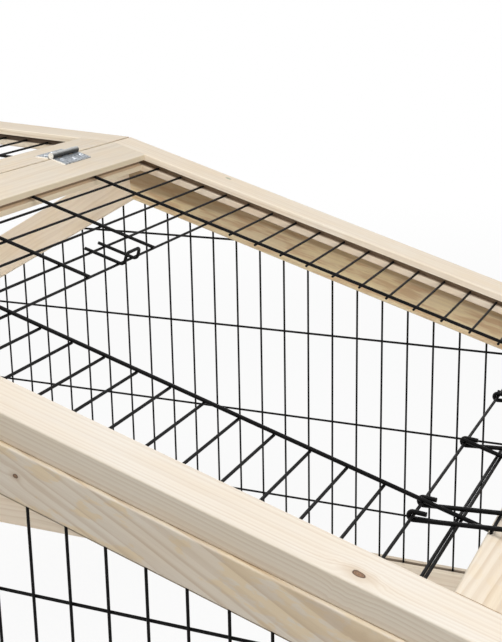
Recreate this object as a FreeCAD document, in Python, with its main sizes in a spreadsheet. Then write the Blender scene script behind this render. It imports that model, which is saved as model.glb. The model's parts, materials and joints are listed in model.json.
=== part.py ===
import FreeCAD
import Part
import Sketcher
import os
from FreeCAD import Vector

# Outdoor rabbit cage: grooved softwood frames filled with coated wire, a fixed roof slope with a wire
# door in it, and a hinged lid on the other slope. Millimetres, ridge along Y, door slope on +X, floor at Z 0.
# The rest pose has the lid lifted and the wire door folded back over the eave.

sizeTable = {
    # timber
    "rail_width": 41.5,        # roof rails and side frames, across the grain
    "rail_thick": 20.0,        # every board
    "board_width": 44.5,       # sloping boards of the gables
    "post_width": 41.5,        # upright posts of the gables
    "sill_width": 41.5,        # bottom rails
    "edge_round": 1.5,         # eased long edges
    "groove_width": 5.9,       # slot that holds the mesh
    "groove_depth": 6.0,
    "lip_step": 9.5,           # outer lip of a sloping gable board stops short of the inner one
    # roof
    "ridge_height": 518.0,     # floor to the top of the ridge joint
    "right_pitch": 17.4,       # degrees, door slope
    "left_pitch": 29.5,        # degrees, lid slope
    "right_slope": 612.5,      # ridge joint to eave along the door slope
    "roof_depth": 655.0,       # along the ridge
    "ridge_gap": 0.5,          # between the two panels at the ridge
    "eave_overhang": 10.0,
    "gable_proud": 2.9,        # gable boards stand out past the roof rails
    "lid_seat": 0.5,           # room under the closed lid
    "lid_lift": 4.0,           # degrees above level of the lifted lid
    # mesh
    "rake_wire": 3.2,          # thick roof wires that run down the slope
    "cross_wire": 2.4,         # roof wires along the ridge
    "upright_wire": 2.2,
    "level_wire": 2.4,
    "groove_play": 0.2,        # wire to slot wall
    "wire_insert": 5.0,        # wire end into a slot
    "first_cross": 59.5,       # ridge joint to the first roof wire
    "cross_pitch": 28.88,
    "rake_margin": 107.3,      # rake rail to the first thick wire
    "wire_stub": 1.2,          # cut end past a welded crossing
    "twin_gap": 0.15,          # between the lowest roof wire and its twin
    "upright_pitch": 29.0,
    "back_shift": 17.6,        # first upright right of the ridge, back gable
    "front_shift": 6.4,        # the same, front gable
    "level_pitch": 102.3,
    "level_drop": 111.0,       # ridge top to the highest level wire
    "end_room": 4.0,           # least room between a frame and a wire beside it
    # wire door in the door slope
    "door_wire": 3.4,
    "hook_play": 0.08,
    "hook_tail": 9.2,
    "hook_curl": 8.0,          # degrees past a half turn
    "door_first": 53.0,        # hinge wire to the first cross wire of the door
    "door_pitch": 29.5,
    "door_reach": 353.5,       # hinge wire to the free end, past the top of the opening
    "door_rest_gap": 0.3,      # folded door over the eave rail
    "door_inner": 55.4,        # middle door wires, from the centre
    "door_middle": 174.6,      # next pair, inside the opening
    "door_outer": 200.0,       # outer pair, beside the opening
    # latch staple welded on the two roof wires above the door, it stands up through the closed door
    "staple_wire": 3.0,
    "staple_low": -6.2,        # legs along the ridge
    "staple_high": 17.8,
    "staple_end": 5.5,         # leg ends past the upper wire
    "staple_past": 6.8,        # standing end past the lower wire
    "staple_rise": 11.5,
    "staple_bend": 4.0,
    # butt hinges on the ridge
    "hinge_length": 52.0,
    "hinge_inset": 148.0,      # roof end to hinge centre
    "leaf_width": 17.5,
    "leaf_thick": 1.2,
    "knuckle_wall": 1.5,
    "knuckle_gap": 0.3,
    "pin_wide": 3.2,
    "pin_play": 0.05,
    "screw_inner": 8.2,        # end screws from the ridge joint
    "screw_outer": 12.0,       # middle screw from the ridge joint
    "screw_spread": 19.0,
    "screw_shank": 3.0,
    "screw_length": 14.0,
    "screw_head": 5.8,
    "screw_head_top": 3.6,
    "screw_head_high": 1.2,
    "screw_play": 0.05,
    # corner screws through the gable posts
    "corner_shank": 4.0,
    "corner_length": 42.0,
    "corner_head": 8.4,
    "corner_head_top": 5.0,
    "corner_head_high": 2.0,
    "corner_low": 72.0,        # floor to the lower screw
    "corner_drop": 41.0,       # outer top of a post to its upper screw
}

doorFirstRow = 5               # roof wire at the top of the door opening, counted from the ridge
doorRows = 12                  # wire spacings down to the hinge wire
knuckles = 5

doc = FreeCAD.newDocument("rabbit_cage")
sheet = doc.addObject("Spreadsheet::Sheet", "sizes")
for row, (alias, value) in enumerate(sizeTable.items(), 1):
    sheet.set(f"A{row}", str(value))
    sheet.setAlias(f"A{row}", alias)
doc.recompute()

layout = doc.addObject("App::VarSet", "layout")
parts = []


def derive(name, text):
    layout.addProperty("App::PropertyFloat", name)
    layout.setExpression(name, text)
    doc.recompute()


def number(text):
    value = layout.evalExpression(text)
    return float(getattr(value, "Value", value))


def place(x, y, z, turn="0; 0; 0"):
    return f"placement(vector({x}; {y}; {z}); rotation({turn}))"


# Places worked out from the driving sizes
derive("mitre", "tan((sizes.right_pitch + sizes.left_pitch) / 2)")
derive("right_run", "sizes.right_slope * cos(sizes.right_pitch)")
derive("left_slope", "sizes.right_slope * sin(sizes.right_pitch) / sin(sizes.left_pitch)")
derive("left_run", "layout.left_slope * cos(sizes.left_pitch)")
derive("ridge_off", "(layout.left_run - layout.right_run) / 2")
derive("base_half", "(layout.left_run + layout.right_run) / 2 - sizes.eave_overhang")
derive("right_out", "layout.base_half - layout.ridge_off")
derive("left_out", "layout.base_half + layout.ridge_off")
derive("gable_y", "sizes.roof_depth / 2 + sizes.gable_proud - sizes.rail_thick / 2")
derive("side_half", "layout.gable_y - sizes.rail_thick / 2")
derive("open_half", "sizes.roof_depth / 2 - sizes.rail_width")
derive("rake_pitch", "(layout.open_half - sizes.rake_margin) * 2 / 3")
derive("rake_level", "-(sizes.rail_thick - sizes.groove_width) / 2 - sizes.groove_play - sizes.rake_wire / 2")
derive("cross_level", "layout.rake_level - (sizes.rake_wire + sizes.cross_wire) / 2")
derive("right_seat", "sizes.rail_thick")
derive("left_seat", "sizes.rail_thick + sizes.lid_seat")
derive("knuckle", "sizes.pin_wide / 2 + sizes.pin_play + sizes.knuckle_wall")
derive("axis_u", "-layout.knuckle * layout.mitre")
derive("hinge_off", "layout.axis_u * cos(sizes.right_pitch) + layout.knuckle * sin(sizes.right_pitch)")
derive("hinge_z", "sizes.ridge_height - layout.axis_u * sin(sizes.right_pitch)"
                  " + layout.knuckle * cos(sizes.right_pitch)")
derive("lid_off", "layout.hinge_off + layout.axis_u * cos(sizes.lid_lift)"
                  " - layout.knuckle * sin(sizes.lid_lift)")
derive("lid_z", "layout.hinge_z - layout.axis_u * sin(sizes.lid_lift) - layout.knuckle * cos(sizes.lid_lift)")
derive("top_u", f"sizes.first_cross + {doorFirstRow - 1} * sizes.cross_pitch")
derive("door_u", f"layout.top_u + {doorRows} * sizes.cross_pitch")
derive("hook", "sizes.cross_wire / 2 + sizes.hook_play + sizes.door_wire / 2")
derive("door_rise", "layout.hook + sizes.door_wire / 2 + sizes.cross_wire / 2")
derive("rest_rise", "sizes.cross_wire / 2 + sizes.door_rest_gap - layout.cross_level")
derive("door_angle", "asin(layout.rest_rise / sqrt(sizes.door_first ^ 2 + layout.door_rise ^ 2)) / 1 deg"
                     " + atan(layout.door_rise / sizes.door_first) / 1 deg")
derive("door_tilt", "layout.door_angle - sizes.right_pitch")
derive("door_off", "layout.door_u * cos(sizes.right_pitch) + layout.cross_level * sin(sizes.right_pitch)")
derive("door_z", "sizes.ridge_height - layout.door_u * sin(sizes.right_pitch)"
                 " + layout.cross_level * cos(sizes.right_pitch)")

# The origin lies on the floor under the middle of the rest pose, from the lid's edge to the door's free end
derive("left_reach", "layout.left_slope * cos(sizes.lid_lift) + sizes.rail_thick * sin(sizes.lid_lift)"
                     " - layout.lid_off")
derive("right_reach", "layout.door_off + sizes.door_reach * cos(layout.door_tilt)"
                      " + (layout.hook + sizes.door_wire / 2) * sin(layout.door_tilt)")
derive("ridge_x", "(layout.left_reach - layout.right_reach) / 2")
derive("base_x", "layout.ridge_x - layout.ridge_off")

ridgeTop = ("layout.ridge_x", "sizes.ridge_height")

roofFrame = place(ridgeTop[0], "0", ridgeTop[1], "0; sizes.right_pitch; 0")
lidFrame = place("layout.ridge_x + layout.lid_off", "0", "layout.lid_z", "180; -sizes.lid_lift; 0")
doorFrame = place("layout.ridge_x + layout.door_off", "0", "layout.door_z", "0; -layout.door_tilt; 180")


# Timber: a padded outline with slots, bevels and screw holes, then eased long edges
def attach(body, name, plane, level):
    sketch = body.newObject("Sketcher::SketchObject", name)
    origin = next(item for item in body.Origin.OriginFeatures if item.Role == plane)
    sketch.AttachmentSupport = [(origin, "")]
    sketch.MapMode = "FlatFace"
    sketch.setExpression("AttachmentOffset.Base.z", level)
    return sketch


def outline(body, name, plane, points, level):
    sketch = attach(body, name, plane, level)
    spots = [Vector(number(x), number(y), 0) for x, y in points]
    for index, spot in enumerate(spots):
        sketch.addGeometry(Part.LineSegment(spot, spots[(index + 1) % len(spots)]), False)
    for index in range(len(spots)):
        sketch.addConstraint(Sketcher.Constraint("Coincident", index, 2, (index + 1) % len(spots), 1))
    for index, (x, y) in enumerate(points):
        for kind, text, value in (("DistanceX", x, spots[index].x), ("DistanceY", y, spots[index].y)):
            tie = sketch.addConstraint(Sketcher.Constraint(kind, -1, 1, index, 1, value))
            sketch.setExpression(f"Constraints[{tie}]", text)
    return sketch


def circles(body, name, plane, centres, wide, level):
    sketch = attach(body, name, plane, level)
    for index, (x, y) in enumerate(centres):
        spot = Vector(number(x), number(y), 0)
        sketch.addGeometry(Part.Circle(spot, Vector(0, 0, 1), number(wide) / 2), False)
        for kind, text, value in (("DistanceX", x, spot.x), ("DistanceY", y, spot.y)):
            tie = sketch.addConstraint(Sketcher.Constraint(kind, -1, 1, index, 3, value))
            sketch.setExpression(f"Constraints[{tie}]", text)
        tie = sketch.addConstraint(Sketcher.Constraint("Diameter", index, number(wide)))
        sketch.setExpression(f"Constraints[{tie}]", wide)
    return sketch


def feature(body, kind, name, sketch, length):
    item = body.newObject(f"PartDesign::{kind}", name)
    item.Profile = sketch
    item.Midplane = True
    item.setExpression("Length", length)
    return item


def box(low, high):
    return [(low[0], low[1]), (high[0], low[1]), (high[0], high[1]), (low[0], high[1])]


along = {"x": Vector(1, 0, 0), "y": Vector(0, 1, 0), "z": Vector(0, 0, 1)}
across = {"XY_Plane": along["z"], "XZ_Plane": along["y"], "YZ_Plane": along["x"]}


def timber(label, frame, plane, points, cuts, grain, level="0", holes=(), sharp=None):
    body = doc.addObject("PartDesign::Body", label)
    body.Label = label
    feature(body, "Pad", "stock", outline(body, "blank", plane, points, level), "sizes.rail_thick")
    for cutPlane, cutPoints, length, cutLevel in cuts:
        feature(body, "Pocket", "cut", outline(body, "cut_line", cutPlane, cutPoints, cutLevel), length)
    for holePlane, centres, wide, depth, holeLevel in holes:
        sketch = circles(body, "hole_line", holePlane, centres, wide, holeLevel)
        feature(body, "Pocket", "hole", sketch, f"2 * ({depth})")
    doc.recompute()
    sawn = body.Tip
    ease = body.newObject("PartDesign::Fillet", "eased_edges")
    ease.Base = (sawn, longEdges(sawn.Shape, across[plane], number(level), grain, sharp))
    ease.setExpression("Radius", "sizes.edge_round")
    body.setExpression("Placement", frame)
    doc.recompute()
    parts.append(body)


def longEdges(shape, normal, middle, grain, sharp):
    names = []
    halfThick = number("sizes.rail_thick / 2")
    for index, edge in enumerate(shape.Edges, 1):
        if not isinstance(edge.Curve, Part.Line):
            continue
        start, end = (vertex.Point for vertex in edge.Vertexes)
        centre = (start + end) / 2
        onFace = abs(abs(centre.dot(normal) - middle) - halfThick) < 1e-4
        lengthwise = abs((end - start).normalize().dot(grain)) > 0.9999
        if onFace and lengthwise and not (sharp and sharp(centre)):
            names.append(f"Edge{index}")
    return names


# Roof panels: two rake rails the full slope, ridge and eave rails between them
def ridgeBevel():
    top = "sizes.ridge_gap / 2 - layout.mitre"
    foot = "sizes.ridge_gap / 2 + layout.mitre * (sizes.rail_thick + 1)"
    far = "-2 * sizes.rail_thick"
    points = [(top, "1"), (foot, "-sizes.rail_thick - 1"), (far, "-sizes.rail_thick - 1"), (far, "1")]
    return ("XZ_Plane", points, "2 * sizes.roof_depth", "0")


def slot(low, high):
    return ("XY_Plane", box(low, high), "sizes.groove_width", "-sizes.rail_thick / 2")


hingeCentre = "(sizes.roof_depth / 2 - sizes.hinge_inset)"
screwSpots = [("sizes.screw_inner", "-sizes.screw_spread"), ("sizes.screw_outer", "0"),
              ("sizes.screw_inner", "sizes.screw_spread")]


def hingeSpots():
    return [(u, f"{end}{hingeCentre} + {shift}") for end in ("", "-") for u, shift in screwSpots]


def roofPanel(prefix, frame, slope, ends):
    level = "-sizes.rail_thick / 2"
    half = "sizes.roof_depth / 2"
    inner = "layout.open_half"
    for end, sign in ends.items():
        outer, inside = f"{sign}({half})", f"{sign}({inner})"
        bed = f"{sign}({inner} + sizes.groove_depth)"
        timber(f"{prefix}_{end}_rake_rail", frame, "XY_Plane", box(("0", inside), (slope, outer)),
               [slot(("-10", inside), (f"{slope} + 10", bed)), ridgeBevel()], along["x"], level)
    pilot = "sizes.screw_shank + 2 * sizes.screw_play"
    holes = [("XY_Plane", hingeSpots(), pilot, "sizes.screw_length", "0")]
    timber(f"{prefix}_ridge_rail", frame, "XY_Plane", box(("0", f"-{inner}"), ("sizes.rail_width", inner)),
           [slot(("sizes.rail_width - sizes.groove_depth", f"-{inner}"), ("sizes.rail_width", inner)),
            ridgeBevel()],
           along["y"], level, holes, lambda spot: spot.x < number("sizes.rail_width / 2"))
    eave = f"{slope} - sizes.rail_width"
    timber(f"{prefix}_eave_rail", frame, "XY_Plane", box((eave, f"-{inner}"), (slope, inner)),
           [slot((eave, f"-{inner}"), (f"{eave} + sizes.groove_depth", inner))], along["y"], level)


roofPanel("roof", roofFrame, "sizes.right_slope", {"front": "-", "back": ""})
roofPanel("lid", lidFrame, "layout.left_slope", {"front": "", "back": "-"})


# Gables: two sloping boards mitred at the peak, two posts and a sill, all slotted on the inner edge
def rakeBoard(label, frame, out, pitch, seat, outward):
    foot = f"({seat} + sizes.board_width)"

    def tail(depth):
        return f"({out} + {depth} * sin({pitch})) / cos({pitch})"

    points = [(f"layout.mitre * {seat}", f"-{seat}"), (tail(seat), f"-{seat}"),
              (tail(foot), f"-{foot}"), (f"layout.mitre * {foot}", f"-{foot}")]
    groove = box(("0", f"-{foot}"), (f"{tail(foot)} + 10", f"-{foot} + sizes.groove_depth"))
    step = box(("0", f"-{foot}"), (f"{tail(foot)} + 10", f"-{foot} + sizes.lip_step"))
    lip = f"{outward}(sizes.rail_thick + sizes.groove_width) / 4"
    timber(label, frame, "XZ_Plane", points,
           [("XZ_Plane", groove, "sizes.groove_width", "0"),
            ("XZ_Plane", step, "(sizes.rail_thick - sizes.groove_width) / 2", lip)], along["x"])


def underBoard(x, pitch, seat):
    return f"(sizes.ridge_height - ({x}) * tan({pitch}) - ({seat} + sizes.board_width) / cos({pitch}))"


cornerHole = "sizes.corner_shank + 2 * sizes.screw_play"


def cornerHeights(out, pitch, seat):
    return ("sizes.corner_low", f"{underBoard(out, pitch, seat)} - sizes.corner_drop")


def post(label, frame, sign, out, pitch, seat):
    inside = f"({out} - sizes.post_width)"
    points = [("layout.base_half - sizes.post_width", "0"), ("layout.base_half", "0"),
              ("layout.base_half", underBoard(out, pitch, seat)),
              ("layout.base_half - sizes.post_width", underBoard(inside, pitch, seat))]
    groove = box(("layout.base_half - sizes.post_width", "0"),
                 ("layout.base_half - sizes.post_width + sizes.groove_depth", "sizes.ridge_height"))
    spots = [("layout.base_half - sizes.rail_thick / 2", height)
             for height in cornerHeights(out, pitch, seat)]
    timber(label, frame, "XZ_Plane", [(f"{sign}({x})", z) for x, z in points],
           [("XZ_Plane", [(f"{sign}({x})", z) for x, z in groove], "sizes.groove_width", "0")], along["z"],
           holes=[("XZ_Plane", [(f"{sign}({x})", z) for x, z in spots], cornerHole, "sizes.rail_thick", "0")])


rightRoof = ("layout.right_out", "sizes.right_pitch", "layout.right_seat")
leftRoof = ("layout.left_out", "sizes.left_pitch", "layout.left_seat")

for end, sign, opposite in (("front", "-", ""), ("back", "", "-")):
    gableY = f"{sign}layout.gable_y"
    rakeBoard(f"{end}_right_rake_board", place(ridgeTop[0], gableY, ridgeTop[1], "0; sizes.right_pitch; 0"),
              *rightRoof, opposite)
    rakeBoard(f"{end}_left_rake_board", place(ridgeTop[0], gableY, ridgeTop[1], "180; sizes.left_pitch; 0"),
              *leftRoof, sign)
    wall = place("layout.base_x", gableY, "0")
    post(f"{end}_right_post", wall, "", *rightRoof)
    post(f"{end}_left_post", wall, "-", *leftRoof)
    span = "layout.base_half - sizes.post_width"
    timber(f"{end}_sill", wall, "XZ_Plane", box((f"-({span})", "0"), (span, "sizes.sill_width")),
           [("XZ_Plane", box((f"-({span})", "sizes.sill_width - sizes.groove_depth"),
                             (span, "sizes.sill_width")), "sizes.groove_width", "0")], along["x"])


# Side walls between the gables: a bevelled top rail under the eave, a sill and two stiles
def sideTop(out, pitch, seat):
    return f"(sizes.ridge_height - ({out}) * tan({pitch}) - {seat} / cos({pitch}))"


def sideWall(prefix, frame, out, pitch, seat):
    half = "layout.side_half"
    top = sideTop(out, pitch, seat)
    under = f"({top} - sizes.rail_width)"
    rise = f"sizes.rail_thick * tan({pitch})"
    bevel = [("sizes.rail_thick", f"{top} - {rise} / 2"), ("sizes.rail_thick", f"{top} + 2 * {rise}"),
             ("-sizes.rail_thick", f"{top} + 2 * {rise}"), ("-sizes.rail_thick", f"{top} + 1.5 * {rise}")]
    timber(f"{prefix}_top_rail", frame, "YZ_Plane", box((f"-{half}", under), (half, f"{top} + {rise}")),
           [("YZ_Plane", box((f"-{half}", under), (half, f"{under} + sizes.groove_depth")),
             "sizes.groove_width", "0"),
            ("XZ_Plane", bevel, f"4 * {half}", "0")],
           along["y"], sharp=lambda spot: spot.z > number(under) + 10)
    timber(f"{prefix}_sill", frame, "YZ_Plane", box((f"-{half}", "0"), (half, "sizes.sill_width")),
           [("YZ_Plane", box((f"-{half}", "sizes.sill_width - sizes.groove_depth"),
                             (half, "sizes.sill_width")), "sizes.groove_width", "0")], along["y"])
    inner = f"({half} - sizes.rail_width)"
    spots = [("0", height) for height in cornerHeights(out, pitch, seat)]
    for end, sign in (("front", "-"), ("back", "")):
        if prefix == "left":
            sign = "" if sign else "-"
        level = f"-({sign}{half})"
        bed = f"{sign}({inner} + sizes.groove_depth)"
        timber(f"{prefix}_{end}_stile", frame, "YZ_Plane",
               box((f"{sign}{inner}", "sizes.sill_width"), (f"{sign}{half}", under)),
               [("YZ_Plane", box((f"{sign}{inner}", "sizes.sill_width"), (bed, under)),
                 "sizes.groove_width", "0")],
               along["z"],
               holes=[("XZ_Plane", spots, cornerHole, "sizes.corner_length - sizes.rail_thick", level)])
    return under


sideX = "layout.base_half - sizes.rail_thick / 2"
rightFrame = place(f"layout.base_x + {sideX}", "0", "0")
leftFrame = place(f"layout.base_x - ({sideX})", "0", "0", "180; 0; 0")
rightUnder = sideWall("right", rightFrame, *rightRoof)
leftUnder = sideWall("left", leftFrame, *leftRoof)


# Wires: one rod each, crossing rods touch where they are welded
turns = {"x": "vector(0; 1; 0); 90", "y": "vector(1; 0; 0); -90", "z": "0; 0; 0"}


def rod(axis, start, length, wide):
    item = doc.addObject("Part::Cylinder", "rod")
    item.setExpression("Radius", f"({wide}) / 2")
    item.setExpression("Height", length)
    item.setExpression("Placement", place(*start, turns.get(axis, axis)))
    return item


def bend(centre, ring, wide, sweep, turn):
    item = doc.addObject("Part::Torus", "bend")
    item.setExpression("Radius1", ring)
    item.setExpression("Radius2", f"({wide}) / 2")
    item.setExpression("Angle3", sweep)
    item.setExpression("Placement", place(*centre, turn))
    return item


def fuse(items):
    item = doc.addObject("Part::MultiFuse", "joined")
    item.Shapes = items
    return item


def group(label, frame, items):
    item = doc.addObject("Part::Compound", label)
    item.Label = label
    item.Links = items
    item.setExpression("Placement", frame)
    doc.recompute()
    parts.append(item)


def finish(label, frame, item):
    item.Label = label
    item.setExpression("Placement", frame)
    doc.recompute()
    parts.append(item)


def between(start, end):
    return f"({end}) - ({start})"


rakePlaces = [f"{step} * layout.rake_pitch" for step in (-1.5, -0.5, 0.5, 1.5)]


def crossRows(slope):
    rows = []
    row = "sizes.first_cross"
    while number(row) < number(f"{slope} - sizes.rail_width - sizes.end_room"):
        rows.append(row)
        row = f"sizes.first_cross + {len(rows)} * sizes.cross_pitch"
    return rows


def roofWires():
    top = "sizes.rail_width - sizes.wire_insert"
    foot = "sizes.right_slope - sizes.rail_width + sizes.wire_insert"
    doorTop = "layout.top_u + sizes.cross_wire"
    doorFoot = "layout.door_u - sizes.cross_wire"
    rakes = []
    for index, y in enumerate(rakePlaces):
        spans = [(top, foot)] if index in (0, 3) else [(top, doorTop), (doorFoot, foot)]
        rakes += [rod("x", (start, y, "layout.rake_level"), between(start, end), "sizes.rake_wire")
                  for start, end in spans]
    group("roof_rake_wires", roofFrame, rakes)
    wide = "layout.open_half + sizes.wire_insert"
    strip = "1.5 * layout.rake_pitch - sizes.wire_stub"
    rows = crossRows("sizes.right_slope")
    twin = f"{rows[-1]} - sizes.cross_wire - sizes.twin_gap"
    crosses = [rod("y", (twin, f"-({wide})", "layout.cross_level"), f"2 * ({wide})", "sizes.cross_wire")]
    for index, u in enumerate(rows, 1):
        inDoor = doorFirstRow < index < doorFirstRow + doorRows
        spans = [(f"-({wide})", f"-({strip})"), (strip, wide)] if inDoor else [(f"-({wide})", wide)]
        crosses += [rod("y", (u, start, "layout.cross_level"), between(start, end), "sizes.cross_wire")
                    for start, end in spans]
    group("roof_cross_wires", roofFrame, crosses)


def lidWires():
    top = "sizes.rail_width - sizes.wire_insert"
    foot = "layout.left_slope - sizes.rail_width + sizes.wire_insert"
    wide = "layout.open_half + sizes.wire_insert"
    group("lid_rake_wires", lidFrame, [rod("x", (top, y, "layout.rake_level"), between(top, foot),
                                           "sizes.rake_wire") for y in rakePlaces])
    group("lid_cross_wires", lidFrame, [rod("y", (u, f"-({wide})", "layout.cross_level"), f"2 * ({wide})",
                                            "sizes.cross_wire") for u in crossRows("layout.left_slope")])


roofWires()
lidWires()

uprightOut = "(sizes.groove_width / 2 - sizes.groove_play - sizes.upright_wire / 2)"
levelOut = f"({uprightOut} - (sizes.upright_wire + sizes.level_wire) / 2)"


def levelHeights(limit):
    heights = []
    height = "sizes.ridge_height - sizes.level_drop"
    while number(height) > number("sizes.sill_width + sizes.end_room"):
        if number(height) < limit:
            heights.append(height)
        height = f"{height} - sizes.level_pitch"
    return heights


def gableTop(x):
    right = underBoard(f"({x}) - layout.ridge_off", "sizes.right_pitch", "layout.right_seat")
    left = underBoard(f"layout.ridge_off - ({x})", "sizes.left_pitch", "layout.left_seat")
    return right if number(right) < number(left) else left


def gableEnd(height, pitch, seat, out):
    drop = f"({seat} + sizes.board_width) / cos({pitch})"
    toBoard = f"(sizes.ridge_height - ({height}) - {drop}) / tan({pitch})"
    toPost = f"{out} - sizes.post_width"
    if number(toBoard) < number(toPost):
        return f"({toBoard} + 0.8 * sizes.wire_insert / sin({pitch}))"
    return f"({toPost} + sizes.wire_insert)"


def gableMesh(end, sign):
    limit = number("layout.base_half - sizes.post_width - sizes.end_room")
    foot = "sizes.sill_width - sizes.wire_insert"
    frame = place("layout.base_x", f"{sign}layout.gable_y", "0")
    uprights = []
    middle = f"layout.ridge_off + sizes.{end}_shift"
    most = int(2 * limit / number("sizes.upright_pitch"))
    for step in range(-most, most + 1):
        x = f"{middle} + {step} * sizes.upright_pitch"
        if abs(number(x)) < limit:
            reach = f"{gableTop(x)} + sizes.wire_insert - ({foot})"
            uprights.append(rod("z", (x, f"{sign}{uprightOut}", foot), reach, "sizes.upright_wire"))
    group(f"{end}_upright_wires", frame, uprights)
    levels = []
    for height in levelHeights(number("sizes.ridge_height")):
        right = gableEnd(height, "sizes.right_pitch", "layout.right_seat", "layout.right_out")
        left = gableEnd(height, "sizes.left_pitch", "layout.left_seat", "layout.left_out")
        start = f"layout.ridge_off - {left}"
        levels.append(rod("x", (start, f"{sign}{levelOut}", height), f"{right} + {left}", "sizes.level_wire"))
    group(f"{end}_level_wires", frame, levels)


def sideMesh(prefix, frame, under):
    limit = number("layout.side_half - sizes.rail_width - sizes.end_room")
    foot = "sizes.sill_width - sizes.wire_insert"
    count = int(limit / number("sizes.upright_pitch") + 0.5)
    group(f"{prefix}_upright_wires", frame,
          [rod("z", (uprightOut, f"{step - 0.5} * sizes.upright_pitch", foot),
               f"{under} + sizes.wire_insert - ({foot})", "sizes.upright_wire")
           for step in range(1 - count, count + 1)])
    reach = "layout.side_half - sizes.rail_width + sizes.wire_insert"
    group(f"{prefix}_level_wires", frame,
          [rod("y", (levelOut, f"-({reach})", height), f"2 * ({reach})", "sizes.level_wire")
           for height in levelHeights(number(under))])


gableMesh("front", "-")
gableMesh("back", "")
sideMesh("right", rightFrame, rightUnder)
sideMesh("left", leftFrame, leftUnder)


# Wire door: long wires hooked round the hinge wire, cross wires on top of them when it is closed
def doorWires():
    hookTurn = "vector(1; -1; 1); 120"
    longWires = []
    for y in ("sizes.door_inner", "sizes.door_middle", "sizes.door_outer"):
        for sign in ("", "-"):
            spot = f"{sign}{y}"
            main = rod("x", ("0", spot, "layout.hook"), "sizes.door_reach", "sizes.door_wire")
            hook = bend(("0", spot, "0"), "layout.hook", "sizes.door_wire", "180 + sizes.hook_curl", hookTurn)
            start = ("layout.hook * sin(sizes.hook_curl)", spot, "-layout.hook * cos(sizes.hook_curl)")
            tail = rod("vector(0; 1; 0); 90 - sizes.hook_curl", start, "sizes.hook_tail", "sizes.door_wire")
            longWires.append(fuse([main, hook, tail]))
    group("door_long_wires", doorFrame, longWires)
    wide = "(sizes.door_outer + sizes.wire_stub)"
    crosses = []
    spot = "sizes.door_first"
    while number(spot) < number("sizes.door_reach"):
        crosses.append(rod("y", (spot, f"-{wide}", "layout.door_rise"), f"2 * {wide}", "sizes.cross_wire"))
        spot = f"sizes.door_first + {len(crosses)} * sizes.door_pitch"
    group("door_cross_wires", doorFrame, crosses)


# Latch staple: one bent wire, two legs welded down and the joined end turned up
def latchStaple():
    level = "(layout.cross_level + (sizes.cross_wire + sizes.staple_wire) / 2)"
    top = f"({level} + sizes.staple_rise)"
    turn = "sizes.staple_bend"
    face = "(layout.top_u + sizes.staple_past)"
    start = "layout.top_u - sizes.cross_pitch - sizes.staple_end"
    pieces = []
    for y, sign, lean in (("sizes.staple_low", "+", "1; -1; -1"), ("sizes.staple_high", "-", "1; 1; 1")):
        pieces.append(rod("x", (start, y, level), between(start, f"{face} - {turn}"), "sizes.staple_wire"))
        pieces.append(bend((f"{face} - {turn}", y, f"{level} + {turn}"), turn, "sizes.staple_wire", "90",
                           "vector(1; 1; -1); 120"))
        pieces.append(rod("z", (face, y, f"{level} + {turn}"), f"sizes.staple_rise - 2 * {turn}",
                          "sizes.staple_wire"))
        pieces.append(bend((face, f"{y} {sign} {turn}", f"{top} - {turn}"), turn, "sizes.staple_wire", "90",
                           f"vector({lean}); 120"))
    pieces.append(rod("y", (face, f"sizes.staple_low + {turn}", top),
                      f"sizes.staple_high - sizes.staple_low - 2 * {turn}", "sizes.staple_wire"))
    finish("latch_staple", roofFrame, fuse(pieces))


doorWires()
latchStaple()


# Hinges: a leaf on each panel, knuckles taking turns round one pin
def block(low, high):
    item = doc.addObject("Part::Box", "block")
    for name, start, end in zip(("Length", "Width", "Height"), low, high):
        item.setExpression(name, between(start, end))
    item.setExpression("Placement", place(*low))
    return item


def hingeLeaf(label, frame, centre, turnsHere):
    half = "sizes.hinge_length / 2"
    share = f"sizes.hinge_length / {knuckles}"
    clear = "layout.axis_u + layout.knuckle + sizes.knuckle_gap"
    pieces = [block((clear, f"{centre} - {half}", "0"),
                    ("sizes.leaf_width", f"{centre} + {half}", "sizes.leaf_thick"))]
    for turn in turnsHere:
        start = f"{centre} - {half} + {turn} * {share} + sizes.knuckle_gap / 2"
        end = f"{centre} - {half} + {turn + 1} * {share} - sizes.knuckle_gap / 2"
        pieces.append(block(("layout.axis_u", start, "0"), (f"{clear} + 1", end, "sizes.leaf_thick")))
        pieces.append(rod("y", ("layout.axis_u", start, "layout.knuckle"), between(start, end),
                          "2 * layout.knuckle"))
    bore = [rod("y", ("layout.axis_u", f"{centre} - {half} - 1", "layout.knuckle"),
                "sizes.hinge_length + 2", "sizes.pin_wide + 2 * sizes.pin_play")]
    for u, shift in screwSpots:
        bore.append(rod("z", (u, f"{centre} + {shift}", "-1"), "sizes.leaf_thick + 2",
                        "sizes.screw_shank + 2 * sizes.screw_play"))
    leaf = doc.addObject("Part::Cut", label)
    leaf.Base = fuse(pieces)
    leaf.Tool = fuse(bore)
    finish(label, frame, leaf)


def screw(spot, axis, name, seat, length, sign=""):
    head = doc.addObject("Part::Cone", "head")
    head.setExpression("Radius1", f"sizes.{name}_head / 2")
    head.setExpression("Radius2", f"sizes.{name}_head_top / 2")
    head.setExpression("Height", f"sizes.{name}_head_high")
    if axis == "z":
        head.setExpression("Placement", place(spot[0], spot[1], seat))
        shank = rod("z", (spot[0], spot[1], f"{seat} - ({length})"), length, f"sizes.{name}_shank")
    else:
        turn = "vector(1; 0; 0); 90" if sign else "vector(1; 0; 0); -90"
        head.setExpression("Placement", place(spot[0], seat, spot[1], turn))
        start = seat if sign else f"{seat} - ({length})"
        shank = rod("y", (spot[0], start, spot[1]), length, f"sizes.{name}_shank")
    return fuse([head, shank])


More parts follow.
